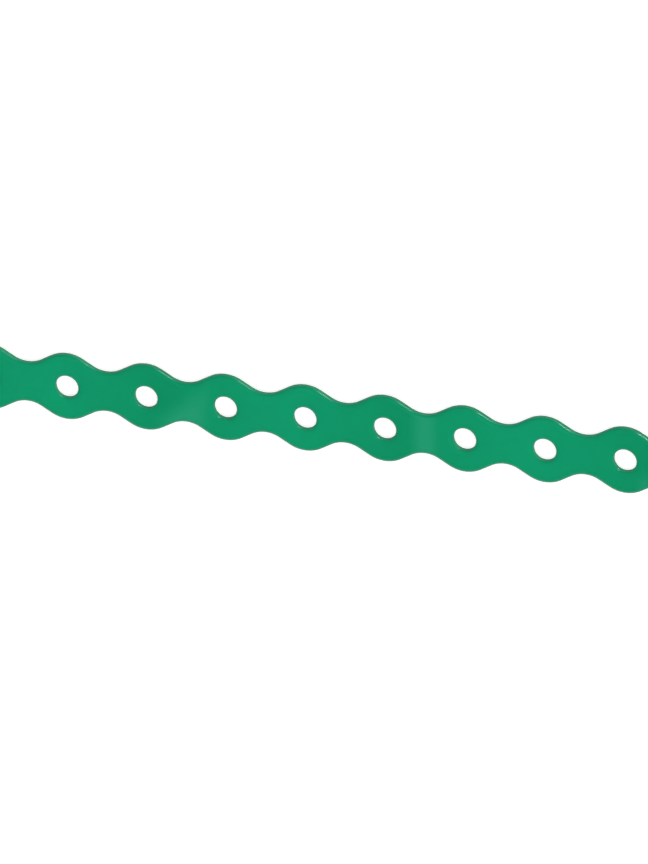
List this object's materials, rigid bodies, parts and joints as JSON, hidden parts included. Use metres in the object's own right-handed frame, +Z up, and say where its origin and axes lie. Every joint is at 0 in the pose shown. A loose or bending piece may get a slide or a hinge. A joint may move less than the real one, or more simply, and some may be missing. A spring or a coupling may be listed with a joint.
{
  "type": "perforated steel strap",
  "caption": "Flat plastic-coated steel hanger strap with scalloped edges and one row of round screw holes, lying straight.",
  "frame": {"origin": "middle of the strap's underside, halfway along its length and across its width, on the waist between the two middle holes", "axes": "+X along the strap, +Y across it, +Z up out of its flat top face"},
  "size_m": [1, 0.0172, 0.0018],
  "materials": {
    "coated_steel": "satin green plastic coat over a steel band"
  },
  "bodies": {
    "root": {"strap": "coated_steel"}
  },
  "joints": []
}
